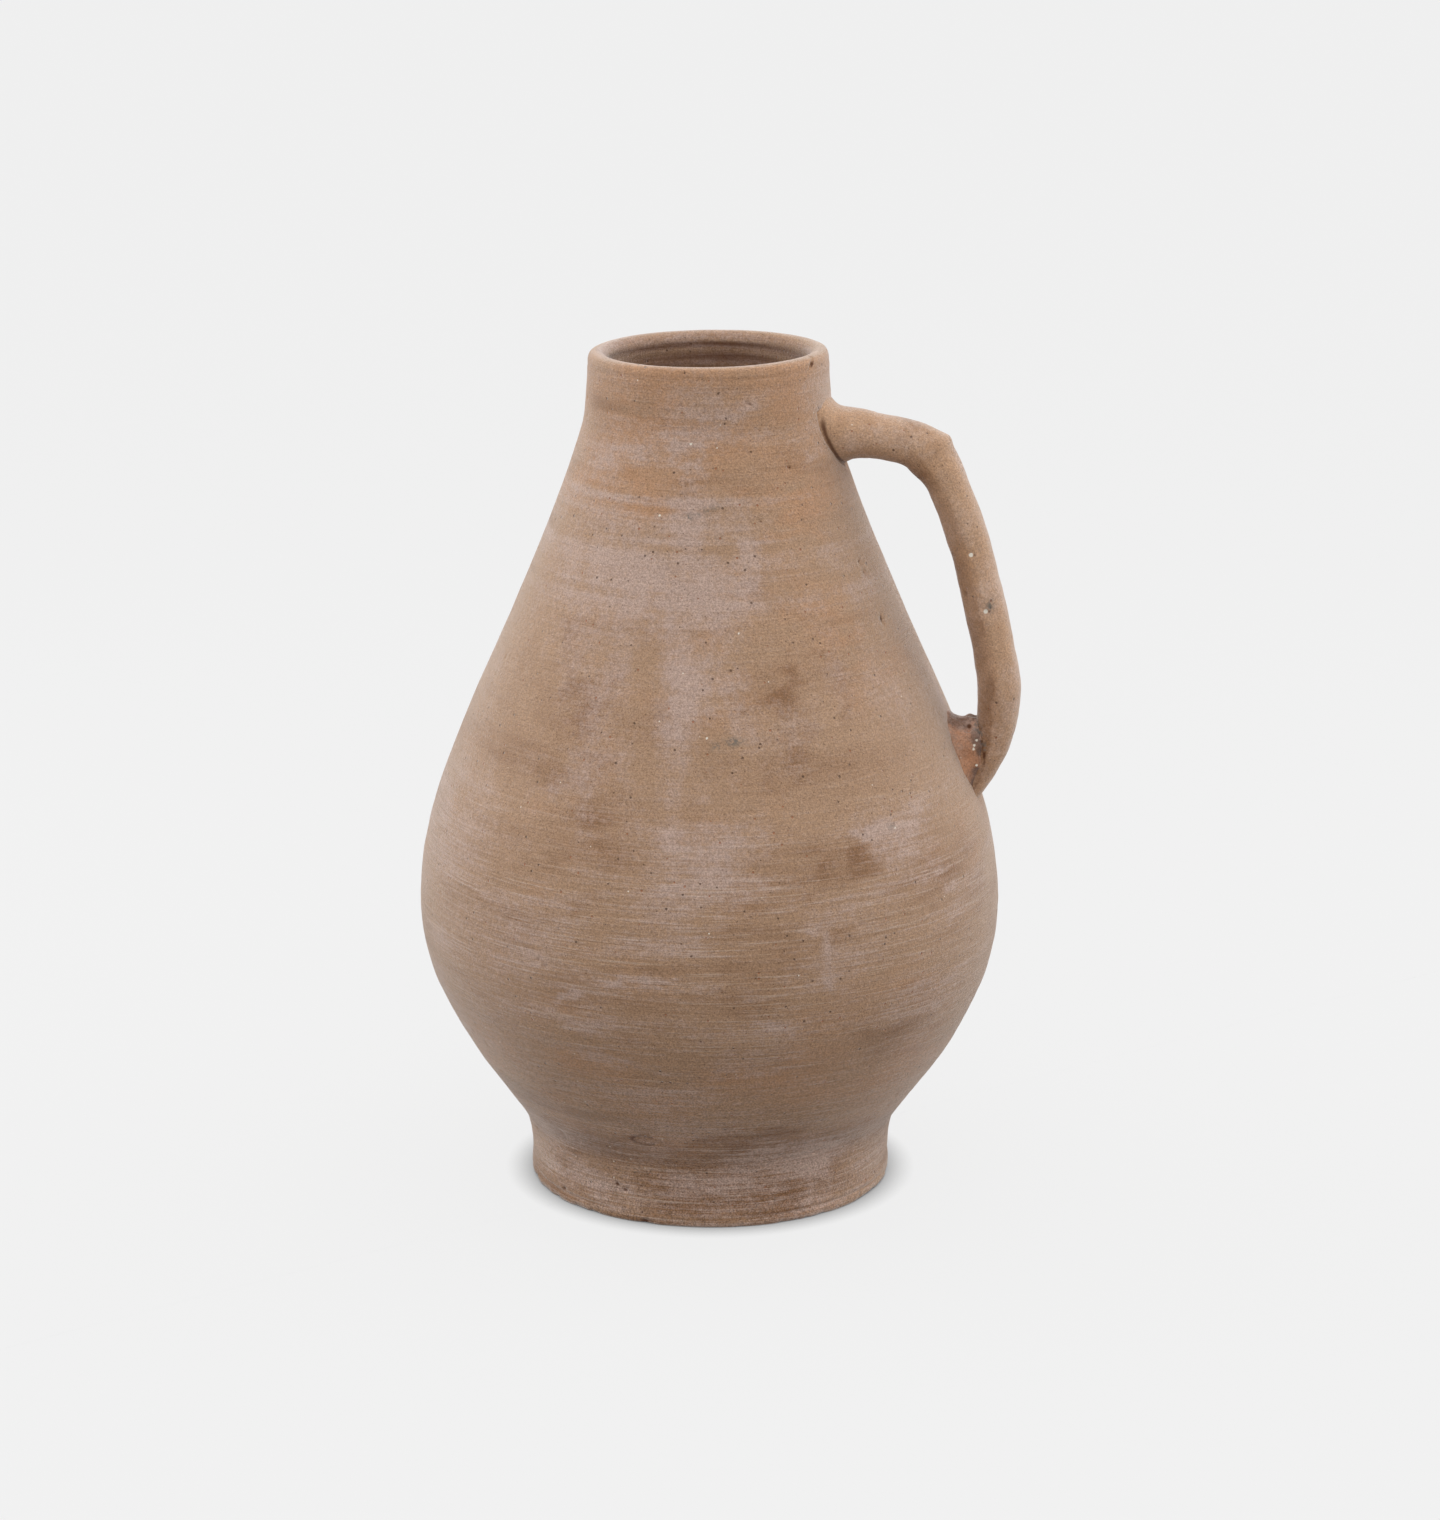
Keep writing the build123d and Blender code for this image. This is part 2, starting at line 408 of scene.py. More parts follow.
def turned_piece(name, strips, closed=True):
    """Mesh of strips of rows, in order round the wall, each ending on the row where the next starts.

    A piece that isn't closed ends in a point on the axis at both ends.
    """
    turn = np.arange(COLUMNS)
    beside = (turn + 1) % COLUMNS
    starts = np.cumsum([0] + [len(rows) * COLUMNS for rows, _ in strips])
    lasts = starts[1:] - COLUMNS
    bands, band_normals = [], []
    for (rows, normals), start in zip(strips, starts):
        for i in range(len(rows) - 1):
            low = start + i * COLUMNS
            high = low + COLUMNS
            bands.append(np.stack([low + turn, low + beside, high + beside, high + turn], -1))
            corners = np.zeros((COLUMNS, 4, 3))
            if normals is not None:
                low, high = normals[i], normals[i + 1]
                corners = np.stack([low, low[beside], high[beside], high], 1)
            band_normals.append(corners)
    # Neighbouring strips meet at the same points, so the second copy is dropped
    keep = np.arange(starts[-1])
    for k in range(len(strips) if closed else len(strips) - 1):
        last, first = lasts[k] + turn, starts[(k + 1) % len(strips)] + turn
        if strips[k][1] is None:
            keep[last] = first
        else:
            keep[first] = last
    quads = keep[np.concatenate(bands)]
    used, faces = np.unique(quads, return_inverse=True)
    vertices = np.concatenate([rows.reshape(-1, 3) for rows, _ in strips])[used]
    faces = faces.reshape(quads.shape).tolist()
    loops = np.concatenate(band_normals).reshape(-1, 3).tolist()
    if not closed:
        for ring, backward in ((turn, True), (lasts[-1] + turn, False)):
            ring = np.searchsorted(used, keep[ring])
            pole = len(vertices)
            vertices = np.vstack([vertices, vertices[ring].mean(axis=0)])
            for a, b in zip(ring.tolist(), ring[beside].tolist()):
                faces.append([b, a, pole] if backward else [a, b, pole])
                loops.extend([(0.0, 0.0, 0.0)] * 3)
    return new_mesh(name, vertices, faces, loops)


foot_end = outer_curve.find(FOOT_SEAM)
belly_end = outer_curve.find(BELLY_SEAM)
neck_end = outer_curve.find(NECK_SEAM)
inner_neck = inner_curve.find(NECK_SEAM)
inner_belly = inner_curve.find(BELLY_SEAM)
# The inner skin stops just short of the axis and ends in a point there
inner_floor = inner_curve.length - 3.0

# Joints: middle of each tongue and its height, and the socket in the foot ring that the body sits in
BELLY_TONGUE = (121.5, 5.0)
NECK_TONGUE = (50.9, 3.5)
SOCKET_FLOOR = 18.0
SOCKET = [(76.5, FOOT_SEAM), (74.5, SOCKET_FLOOR), (67.0, SOCKET_FLOOR)]
# Recess under the foot, from the socket down to the ground, then the edge that the pot stands on
RECESS = [SOCKET[-1], (66.6, 12.0), (67.0, 5.0), (67.8, 1.0), (69.0, 0.0)]
STANDING_EDGE = [(72.0, 0.05), (77.0, 0.0), OUTER[0]]


def joint(outer_distance, inner_distance, tongue, height):
    """Corners of one tongue-and-groove joint, from the outer wall to the inner one."""
    out = outer_curve.point(outer_distance)
    into = inner_curve.point(inner_distance)
    rise = out[1] + height
    steps = [(tongue + 2.1, out[1]), (tongue + 1.5, rise), (tongue - 1.5, rise), (tongue - 2.1, out[1])]
    return [out] + steps + [into]


belly_joint = joint(belly_end, inner_belly, *BELLY_TONGUE)
neck_joint = joint(neck_end, inner_neck, *NECK_TONGUE)
foot_joint = [outer_curve.point(foot_end)] + SOCKET

foot_ring = [
    skin(outer_curve, 0.0, foot_end, 0.7, "outer"),
    plain(*foot_joint),
    plain(*RECESS, *STANDING_EDGE),
]
lower_body = [
    plain((3.0, SOCKET_FLOOR), (30.0, SOCKET_FLOOR), (60.0, SOCKET_FLOOR), *reversed(foot_joint)),
    skin(outer_curve, foot_end, belly_end, 1.2, "outer"),
    plain(*belly_joint),
    skin(inner_curve, inner_belly, inner_floor, 6.0, "inner"),
]
upper_body = [
    skin(outer_curve, belly_end, neck_end, 1.3, "outer"),
    plain(*neck_joint),
    skin(inner_curve, inner_neck, inner_belly, 6.0, "inner"),
    plain(*reversed(belly_joint)),
]
neck = [
    skin(outer_curve, neck_end, outer_curve.length, 0.6, "outer"),
    skin(inner_curve, 0.0, inner_neck, 0.9, "inner"),
    plain(*reversed(neck_joint)),
]
pieces = {
    "foot_ring": turned_piece("foot_ring", foot_ring),
    "lower_body": turned_piece("lower_body", lower_body, closed=False),
    "upper_body": turned_piece("upper_body", upper_body),
    "neck": turned_piece("neck", neck),
}

# How deep in the wall the buried ends of the handle and wads may lie
BURIED = 4.0


def seated(points):
    """Keeps the buried ends of the handle and wads inside the wall, clear of the hollow."""
    _, height, radius = polar(points)
    least = wall_radius(np.clip(height, 30.0, 372.0)) - BURIED
    grow = np.where(radius < least, least / np.maximum(radius, 1.0), 1.0)
    return points * np.stack([grow, grow, np.ones_like(grow)], -1)


# Handle, in the plane of +X and +Z: x and z of the middle of its section, its thickness and its width
HANDLE_PATH = [
    (46.0, 345.0, 21.0, 26.0),
    (67.5, 344.0, 20.0, 25.5),
    (78.0, 342.5, 19.0, 25.0),
    (87.0, 341.0, 19.5, 25.0),
    (93.5, 338.5, 20.5, 24.5),
    (98.0, 334.5, 21.0, 24.0),
    (102.5, 329.5, 19.5, 24.0),
    (106.5, 322.0, 17.5, 23.5),
    (115.0, 299.5, 18.0, 23.0),
    (122.5, 270.5, 18.5, 23.0),
    (128.5, 243.0, 18.5, 22.0),
    (130.0, 228.0, 18.5, 22.0),
    (127.5, 208.0, 17.0, 20.5),
    (122.5, 194.5, 13.5, 18.5),
    (115.0, 179.5, 10.0, 15.5),
    (110.0, 172.0, 9.0, 14.0),
]
# The point of that path where the arm turns down
HANDLE_CORNER = 5
HANDLE_SQUARENESS = 2.2
HANDLE_ROWS = 380
HANDLE_COLUMNS = 112
# Chips on the handle's near side, two of them with lime in them: x, z, half-size, depth
WHITE_CHIPS = [(117.7, 294.3, 1.5, 0.6), (124.6, 269.2, 2.0, 0.8)]
BARE_CHIPS = [(114.6, 275.6, 1.5, 0.7)]

handle_curve = Curve([(x, z) for x, z, _, _ in HANDLE_PATH])
handle_stations = handle_curve.stations
elbow = handle_stations[HANDLE_CORNER] - 0.4


def handle_frame(distances):
    """Middle of the handle's section and its outward direction, for each distance."""
    at = handle_curve.at(distances)
    along = handle_curve.way(distances, 0.5)
    middle = np.stack([at[:, 0], 0.0 * at[:, 0], at[:, 1]], -1)
    outward = np.stack([-along[:, 1], 0.0 * at[:, 0], along[:, 0]], -1)
    return middle, outward


def turns_round(count):
    """Angles once round a section, as one row."""
    return np.linspace(0.0, 2.0 * math.pi, count, endpoint=False)[None, :]


def pushed_out(points, middle, amount):
    """Points moved away from the middle of their section by an amount for each."""
    way = points - middle
    way /= np.maximum(np.linalg.norm(way, axis=-1, keepdims=True), 1e-6)
    return points + way * amount[..., None]


def oval(turns, up, down, near, far, squareness):
    """Offsets outward and across for a rounded section whose four half-sizes can differ."""
    c, s = np.cos(turns), np.sin(turns)
    c = np.sign(c) * np.abs(c) ** (2.0 / squareness)
    s = np.sign(s) * np.abs(s) ** (2.0 / squareness)
    return np.where(c > 0.0, up, down) * c, -np.where(s > 0.0, near, far) * s


def handle_lumps(points, underside):
    """Hand-rolled unevenness of the handle, more of it on its inner side."""
    lumps = 0.40 * noise(points, 17.0, 41) + 0.22 * noise(points, 8.0, 42) + 0.07 * noise(points, 3.0, 43)
    return lumps + underside * (0.30 * noise(points, 9.0, 44) + 0.15 * noise(points, 4.5, 45))


def half_size(distances, column):
    """Half of a size given at each point of the handle's path, at other distances along it."""
    sizes = [point[column] for point in HANDLE_PATH]
    smooth = Curve(list(zip(handle_stations, sizes)))
    return np.interp(distances, smooth.path[:, 0], smooth.path[:, 1])[:, None] / 2.0


def handle_skin(distances):
    """Rows of points round the handle."""
    turns = turns_round(HANDLE_COLUMNS)
    middle, outward = handle_frame(distances)
    thick = half_size(distances, 2)
    wide = half_size(distances, 3)
    out, across = oval(turns, thick, thick, wide, wide, HANDLE_SQUARENESS)
    points = middle[:, None, :] + outward[:, None, :] * out[..., None]
    points[..., 1] += across
    s = distances[:, None]
    open_part = smoothstep(62.0, 85.0, s) * (1.0 - smoothstep(165.0, 195.0, s))
    ridge = 1.0 * bell(turns - 1.50, 0.24) * open_part
    hollowed = 0.8 * bell(turns - 2.25, 0.42) * open_part
    corner = 2.1 * bell(s - elbow, 3.8) * np.maximum(0.0, np.cos(turns)) ** 2
    relief = handle_lumps(points, np.maximum(0.0, -np.cos(turns))) + ridge - hollowed + corner
    for x, z, size, depth in WHITE_CHIPS + BARE_CHIPS:
        far_off = np.hypot(points[..., 0] - x, (points[..., 2] - z) * 0.8)
        relief -= depth * bell(far_off, size) * (points[..., 1] < 0.0)
    return pot_warp(seated(pushed_out(points, middle[:, None, :], relief)))


def grid_object(name, rows, wrap_rows=False):
    """Closed mesh of a grid that wraps across, and along too or else has its two ends capped."""
    count, columns = rows.shape[:2]
    turn = np.arange(columns)
    beside = (turn + 1) % columns
    bands = []
    for i in range(count if wrap_rows else count - 1):
        low = i * columns
        high = ((i + 1) % count) * columns
        bands.append(np.stack([low + turn, low + beside, high + beside, high + turn], -1))
    faces = np.concatenate(bands).tolist()
    vertices = rows.reshape(-1, 3)
    if not wrap_rows:
        first = len(vertices)
        vertices = np.vstack([vertices, rows[0].mean(axis=0), rows[-1].mean(axis=0)])
        last = (count - 1) * columns
        for j in range(columns):
            faces.append([(j + 1) % columns, j, first])
            faces.append([last + j, last + (j + 1) % columns, first + 1])
    return new_mesh(name, vertices, faces)


HANDLE_START = 5.5
HANDLE_END = handle_curve.length - 2.0
pieces["handle"] = grid_object("handle", handle_skin(np.linspace(HANDLE_START, HANDLE_END, HANDLE_ROWS)))

# Wad of clay round the top of the handle: x, then how far it reaches up, down, and to each side
TOP_WAD = [
    (49.0, 19.5, 19.0, 19.0, 22.5),
    (51.5, 17.4, 17.6, 17.4, 20.8),
    (53.4, 15.0, 17.0, 16.8, 19.6),
    (55.2, 13.0, 16.4, 16.4, 18.6),
    (57.2, 11.6, 15.6, 15.8, 17.6),
    (60.0, 10.9, 14.4, 15.0, 16.3),
    (62.5, 10.7, 12.6, 14.3, 15.2),
    (65.0, 10.5, 11.2, 13.7, 14.3),
    (68.0, 10.4, 10.5, 13.1, 13.5),
    (72.0, 10.0, 10.0, 12.8, 12.9),
    (76.0, 9.0, 9.0, 12.0, 12.0),
]
TOP_WAD_ROWS = 90
TOP_WAD_SQUARENESS = 2.15
SMOOTHING = np.array([0.25, 0.5, 0.25])


def top_wad_skin(distances, inset=0.0):
    """Rows of points round the top wad, flaring out where it meets the neck."""
    turns = turns_round(HANDLE_COLUMNS * 2)
    middle, outward = handle_frame(distances)
    stations = np.array(TOP_WAD)
    reach = [np.interp(middle[:, 0], stations[:, 0], stations[:, k])[:, None] - inset for k in range(1, 5)]
    for k in range(4):
        for _ in range(6):
            padded = np.pad(reach[k][:, 0], 1, mode="edge")
            reach[k] = np.convolve(padded, SMOOTHING, mode="valid")[:, None]
    out, across = oval(turns, *reach, TOP_WAD_SQUARENESS)
    points = middle[:, None, :] + outward[:, None, :] * out[..., None]
    points[..., 1] += across - 0.2 * out * smoothstep(66.0, 54.0, middle[:, :1])
    if inset == 0.0:
        relief = handle_lumps(points, np.maximum(0.0, -np.cos(turns)))
        points = pushed_out(points, middle[:, None, :], relief)
    return pot_warp(seated(points))


wad_span = np.linspace(3.0, 29.5, TOP_WAD_ROWS)
wad_outside = top_wad_skin(wad_span)
wad_inside = top_wad_skin(wad_span[::6], 5.0)[::-1]
wad_rows = np.concatenate([wad_outside, wad_inside])
pieces["handle_top_wad"] = grid_object("handle_top_wad", wad_rows, wrap_rows=True)

# Wad of clay packed between the foot of the handle and the belly: x, z, height, width
BOTTOM_WAD = [
    (101.0, 198.0, 38.0, 25.0),
    (106.0, 198.4, 37.0, 24.4),
    (110.0, 199.0, 36.0, 23.8),
    (114.0, 200.0, 35.0, 23.2),
    (118.0, 201.6, 33.2, 22.6),
    (121.0, 203.0, 29.5, 21.6),
    (123.2, 204.0, 24.0, 19.4),
    (124.8, 204.5, 17.0, 15.5),
]
# Crease between the bottom wad and the handle's near side, darkened with painted shade and some soot, as (x,
# z) down it
WAD_CREASE = [(117.5, 219.5), (121.5, 213.5), (123.8, 207.0), (124.3, 199.5), (122.0, 191.0), (119.0, 185.0)]
# Hole pierced near the bottom wad's top, and the grits in its near side, as (x, z)
WAD_HOLE = (117.0, 214.6)
WAD_GRITS = [(120.8, 209.6), (119.6, 205.6), (121.0, 198.2), (119.8, 207.4)]
BOTTOM_WAD_ROWS = 70
BOTTOM_WAD_COLUMNS = 150
BOTTOM_WAD_SQUARENESS = 2.3


def crease_line(points, width):
    """Soft line from 0 to 1 along the crease beside the bottom wad, on the near side only."""
    x_at, y_at, z_at = np.moveaxis(points, -1, 0)
    nearest = np.full(points.shape[:-1], 1e3)
    for (x0, z0), (x1, z1) in zip(WAD_CREASE[:-1], WAD_CREASE[1:]):
        along = stretch_distance(x_at - x0, z_at - z0, x1 - x0, z1 - z0)
        nearest = np.minimum(nearest, along)
    return bell(nearest, width) * (y_at < 2.0)


def bottom_wad_skin():
    """Rows of points round the bottom wad, roughly finished and pierced near its top."""
    turns = turns_round(BOTTOM_WAD_COLUMNS)
    stations = np.array(BOTTOM_WAD)
    x = np.linspace(stations[0, 0], stations[-1, 0], BOTTOM_WAD_ROWS)
    z, tall, wide = (np.interp(x, stations[:, 0], stations[:, k])[:, None] for k in (1, 2, 3))
    out, across = oval(turns, tall / 2, tall / 2, wide / 2, wide / 2, BOTTOM_WAD_SQUARENESS)
    points = np.stack([x[:, None] + 0.0 * out, across, z + out], -1)
    middle = np.stack([x, 0.0 * x, z[:, 0]], -1)[:, None, :]
    spread_out = (points - middle) * (0.0, 1.0, 1.0)
    spread_out /= np.linalg.norm(spread_out, axis=-1, keepdims=True)
    relief = 0.7 * layered(points, 6.5, 51, 3) + 0.35 * noise(points, 2.2, 52)
    relief -= 0.9 * crease_line(points, 1.2)
    hole = np.hypot(points[..., 0] - WAD_HOLE[0], points[..., 2] - WAD_HOLE[1])
    relief -= 2.2 * bell(hole, 1.5) * (points[..., 1] < 0.0)
    points = points + spread_out * relief[..., None]
    _, height, radius = polar(points)
    flare = 2.4 * np.exp(-np.maximum(radius - wall_radius(height), 0.0) / 2.2)
    return pot_warp(seated(points + spread_out * flare[..., None]))


pieces["handle_bottom_wad"] = grid_object("handle_bottom_wad", bottom_wad_skin())


# Colour fields. Each patch: bearing, height, half-length round the pot, half-height, strength
DUST = [
    (-84, 205, 17, 95, 0.45), (-112, 215, 8, 60, 0.3), (-86, 250, 17, 42, 0.75),
    (-88, 190, 24, 30, 0.9), (-92, 290, 26, 12, 0.9), (-114, 343, 26, 4, 0.9),
    (-88, 343, 14, 3, 0.5), (-82, 314, 34, 10, 0.5), (-74, 366, 18, 4, 0.9),
    (-98, 356, 10, 5, 0.4), (-37, 339, 7, 6, 0.9), (-133, 335, 10, 8, 0.7),
    (-33, 183, 15, 14, 1.0), (-45, 188, 18, 5, 0.8), (-29, 168, 8, 18, 0.8),
    (-84, 168, 18, 14, 0.8), (-93, 128, 26, 4, 0.8), (-76, 121, 24, 3, 0.9),
    (-112, 121, 12, 3, 0.9), (-59, 137, 5, 9, 0.8), (-84, 85, 26, 7, 0.5),
    (-137, 10, 15, 9, 1.0), (-117, 13, 22, 8, 1.0), (-85, 15, 22, 9, 0.7),
    (-47, 18, 18, 10, 0.8), (-60, 30, 26, 4, 0.5), (-117, 150, 20, 12, 0.6),
    (60, 240, 22, 40, 0.8), (140, 180, 26, 30, 0.8), (100, 120, 60, 8, 0.6),
]
OCHRE = [
    (-108, 322, 20, 11, 0.9), (-48, 322, 17, 12, 1.0), (-118, 366, 10, 11, 1.0),
    (-61, 333, 10, 5, 0.6), (-42, 262, 20, 30, 0.7), (-62, 270, 20, 18, 0.5),
    (-145, 330, 20, 20, 0.4), (-38, 105, 20, 25, 0.4), (-90, 2, 60, 2.5, 0.5),
    (-38, 3, 40, 4.0, 1.0), (30, 320, 26, 14, 0.9), (110, 260, 26, 26, 0.8),
    (170, 110, 30, 16, 0.7),
]
# Dark patches; the long low bands at heights 44 to 60 also darken the underside of the belly, partly as
# painted shade
UMBER_AND_SHADE = [
    (-63, 205, 13, 28, 0.8), (-58, 245, 8, 32, 1.0), (-44, 220, 7, 30, 0.7),
    (-48, 178, 10, 14, 0.9), (-62, 166, 14, 17, 0.9), (-38, 158, 10, 18, 0.5),
    (-95, 246, 7, 24, 0.7), (-115, 246, 10, 26, 1.0), (-124, 262, 10, 14, 0.5),
    (-110, 190, 24, 10, 0.6), (-109, 161, 18, 8, 0.7), (-98, 92, 26, 10, 0.5),
    (-75, 70, 26, 8, 0.5), (-80, 44, 70, 6, 0.9), (-45, 90, 11, 12, 0.5),
    (-42, 112, 16, 10, 0.5), (-130, 30, 14, 8, 0.6), (-95, 30, 20, 5, 0.6),
    (-84, 11, 11, 8, 0.9), (-61, 4, 15, 7, 1.5), (80, 200, 20, 36, 0.8),
    (0, 120, 30, 14, 0.6), (150, 60, 70, 14, 0.8), (40, 60, 60, 12, 0.8),
]
# Bluish smears left in the clay: bearing, height, half-length, half-height, tilt, strength
SOOT = [
    (-90, 318, 1.6, 1.4, -35, 1.0), (-87, 319, 2.4, 1.2, 10, 0.7),
    (-83, 320.5, 2.6, 1.4, 10, 0.7), (-80, 322, 2.4, 1.3, 20, 0.6),
    (-80.5, 226.6, 2.0, 1.6, 0, 0.9), (-76.2, 228.5, 3.8, 1.8, 0, 1.0),
    (-41, 188, 2.0, 1.6, 0, 0.7),
]
# White grits of lime: bearing, height
LIME_SIZE = 0.8
LIME = [
    (-101.3, 318.2), (-83.6, 322.2), (-96.6, 248.3), (-73.5, 271.0),
    (-67.1, 269.5), (-82.6, 230.2), (-90.6, 347.8), (-112.4, 335.7),
    (-76.9, 126.4), (-111.9, 111.0), (-59.5, 143.0), (-40.0, 187.0),
]


# Dust, umber and ochre at each height besides the patches; the heavy umber on the foot and under the belly
# is partly darker clay and partly painted shade
DUST_BY_HEIGHT = [
    (0, 0.30), (30, 0.28), (45, 0.02), (100, 0.12), (160, 0.24), (205, 0.18),
    (262, 0.08), (300, 0.26), (335, 0.2), (352, 0.28), (RIM, 0.25),
]
UMBER_AND_SHADE_BY_HEIGHT = [
    (0, 0.9), (1.2, 0.8), (2.2, 0.56), (26, 0.54), (33, 0.75), (40, 0.65),
    (48, 0.3), (60, 0.02), (110, 0.06), (160, 0.2), (240, 0.18), (280, 0.0),
]
OCHRE_BY_HEIGHT = [
    (30, 0.0), (40, 0.5), (82, 0.4), (100, 0.05),
    (300, 0.1), (335, 0.35), (350, 0.55), (RIM, 0.5),
]


def patches(bearing, height, table):
    """The strongest of a table's soft ovals at each point. A row ends in a tilt, if any, and a strength."""
    total = np.zeros_like(bearing)
    for at_bearing, at_height, long, tall, *tilt, strength in table:
        oval_mark = mark(bearing, height, (at_bearing, at_height), long, tall, *tilt)
        total = np.maximum(total, strength * oval_mark)
    return total


def pot_tones(points):
    """Dust, ochre and umber amounts from 0 to 1 for points on the vessel. The umber also holds painted shade
    on the foot and under the belly, and the dust holds a painted highlight along the lip's inner edge.
    """
    _, height, radius = polar(points)
    outside = smoothstep(-4.0, -2.0, radius - wall_radius(height))
    drift = np.stack([layered(points, 30.0, s, 4) for s in (61, 62, 63)], -1)
    ragged = np.stack([layered(points, (12.0, 12.0, 5.0), s, 3) for s in (81, 82, 83)], -1)
    bearing_w, height_w, _ = polar(points + 11.0 * drift + (6.0, 6.0, 3.5) * ragged)
    upright = smoothstep(150.0, 230.0, height) * (1.0 - smoothstep(320.0, 345.0, height))
    cloud = layered(points, 36.0, 64, 5)
    banded = layered(points, (70.0, 70.0, 9.0), 65, 5) * np.interp(height, [0, 34, 50], [0.5, 0.5, 1.0])
    columns = layered(points, (13.0, 13.0, 80.0), 66, 4)
    flecked = layered(points, (14.0, 14.0, 4.0), 84, 4)
    rings = layered(points, (160.0, 160.0, 3.2), 85, 3)
    ringed = smoothstep(262.0, 285.0, height) * smoothstep(345.0, 325.0, height)
    broken = 1.0 + 0.5 * banded * (1.0 - upright) + 0.4 * columns * upright + 0.3 * cloud + 0.6 * flecked
    dust = 0.72 * patches(bearing_w, height_w, DUST) * broken
    dust += by_height(height, DUST_BY_HEIGHT)
    dust += 0.34 * banded * (1.0 - upright) + 0.30 * columns * upright + 0.28 * cloud + 0.45 * rings * ringed
    ochre = 0.75 * patches(bearing_w, height_w, OCHRE) * broken
    ochre = ochre + 0.36 * layered(points, (30.0, 30.0, 14.0), 67, 5) + by_height(height, OCHRE_BY_HEIGHT)
    worn_and_shaded = patches(bearing_w, height_w, UMBER_AND_SHADE) + 0.22 * cloud + 0.4 * columns * upright + 0.2 * flecked
    umber_and_shade = 0.42 * smoothstep(0.18, 0.95, worn_and_shaded) + 0.30 * layered(points, (40.0, 40.0, 18.0), 68, 5)
    umber_and_shade += 0.25 * np.maximum(0.0, -banded) * (1.0 - upright) + 0.4 * np.maximum(0.0, -rings) * ringed
    # Umber by height darkens the foot and the underside of the belly: partly darker clay, partly painted
    # shade
    umber_and_shade += by_height(height, UMBER_AND_SHADE_BY_HEIGHT) + 0.10 * flecked
    # Painted highlight along the lip's inner edge: more dust and less umber there
    lip = bell(radius - 45.6, 0.9) * smoothstep(375.0, 378.0, height)
    tones = np.stack([dust + 1.2 * lip, ochre, umber_and_shade - lip], -1)
    within = 0.3 + 0.5 * layered(points, (60.0, 60.0, 3.0), 86, 4)
    return np.clip(tones * outside[..., None] + within[..., None] * (1.0 - outside[..., None]), 0.0, 1.0)


def pot_spots(points):
    """Soot, lime and hollow amounts from 0 to 1 for points on the vessel; the hollow amount is painted shade
    in pits, the crease at the handle's top, the loop scratch and inside the pot.
    """
    bearing, height, radius = polar(points)
    soot = patches(bearing, height, SOOT)
    lime = patches(bearing, height, [(b, z, LIME_SIZE, LIME_SIZE, 1.0) for b, z in LIME])
    pits = [(b, z, long * 0.8, tall * 0.8, tilt, min(1.0, depth)) for b, z, long, tall, tilt, depth in PITS]
    inside = 1.0 - smoothstep(-6.0, -3.5, radius - wall_radius(np.minimum(height, 372.0)))
    inside_shade = 0.62 + 0.20 * layered(points, (60.0, 60.0, 3.0), 87, 4)
    # Painted shade in the pits, the crease at the handle's top, the loop scratch and the pot's inside, where
    # the shade keeps the finger rings
    hollows = [
        patches(bearing, height, pits),
        0.75 * stroke(bearing, height, CREASE, 1.3),
        inside_shade * inside * (1.0 - smoothstep(374.0, 378.6, height)),
        0.75 * loop_scratch(bearing, height),
    ]
    return np.clip(np.stack([soot, lime, np.maximum.reduce(hollows)], -1), 0.0, 1.0)


def inner_reach(points):
    """How far outward from the handle's middle line each point is, in the handle's plane."""
    line = handle_curve.at(np.linspace(0.0, handle_curve.length, 120))
    ahead = np.gradient(line, axis=0)
    ahead /= np.linalg.norm(ahead, axis=1)[:, None]
    flat = points[..., (0, 2)].reshape(-1, 2)
    apart = flat[:, None, :] - line[None, :, :]
    nearest = np.argmin(np.sum(apart**2, axis=-1), axis=1)
    step = apart[np.arange(len(flat)), nearest]
    way = ahead[nearest]
    return (-step[:, 0] * way[:, 1] + step[:, 1] * way[:, 0]).reshape(points.shape[:-1])


def handle_tones(points):
    """Dust, ochre and umber for the handle and its top wad, with painted shade on the inner side and in the
    crease by the bottom wad.
    """
    x_at, _, z_at = np.moveaxis(points, -1, 0)
    at_root = 1.0 - smoothstep(64.0, 76.0, x_at)
    reach = inner_reach(points) + 1.2 * layered(points, 9.0, 78, 3)
    # Painted shade on the handle's inner side: less dust and more umber there
    inner_side_shade = smoothstep(-0.2, -3.2, reach) * (1.0 - at_root)
    dust = 0.22 + 0.40 * layered(points, 16.0, 71, 4) - 0.25 * inner_side_shade
    dust += 0.3 * bell(x_at - 93.0, 8.0) * (z_at > 335.0)
    dust += 0.3 * bell(x_at - 64.0, 5.0) * (z_at > 338.0)
    ochre = 0.15 + 0.35 * layered(points, 22.0, 72, 4)
    # The crease term is painted shade beside the bottom wad
    umber_and_shade = 0.02 + 0.35 * layered(points, 13.0, 73, 4) + 0.40 * inner_side_shade + 0.5 * crease_line(points, 2.8)
    umber_and_shade += 0.35 * smoothstep(338.0, 350.0, z_at)
    return np.clip(np.stack([dust, ochre, umber_and_shade], -1), 0.0, 1.0)


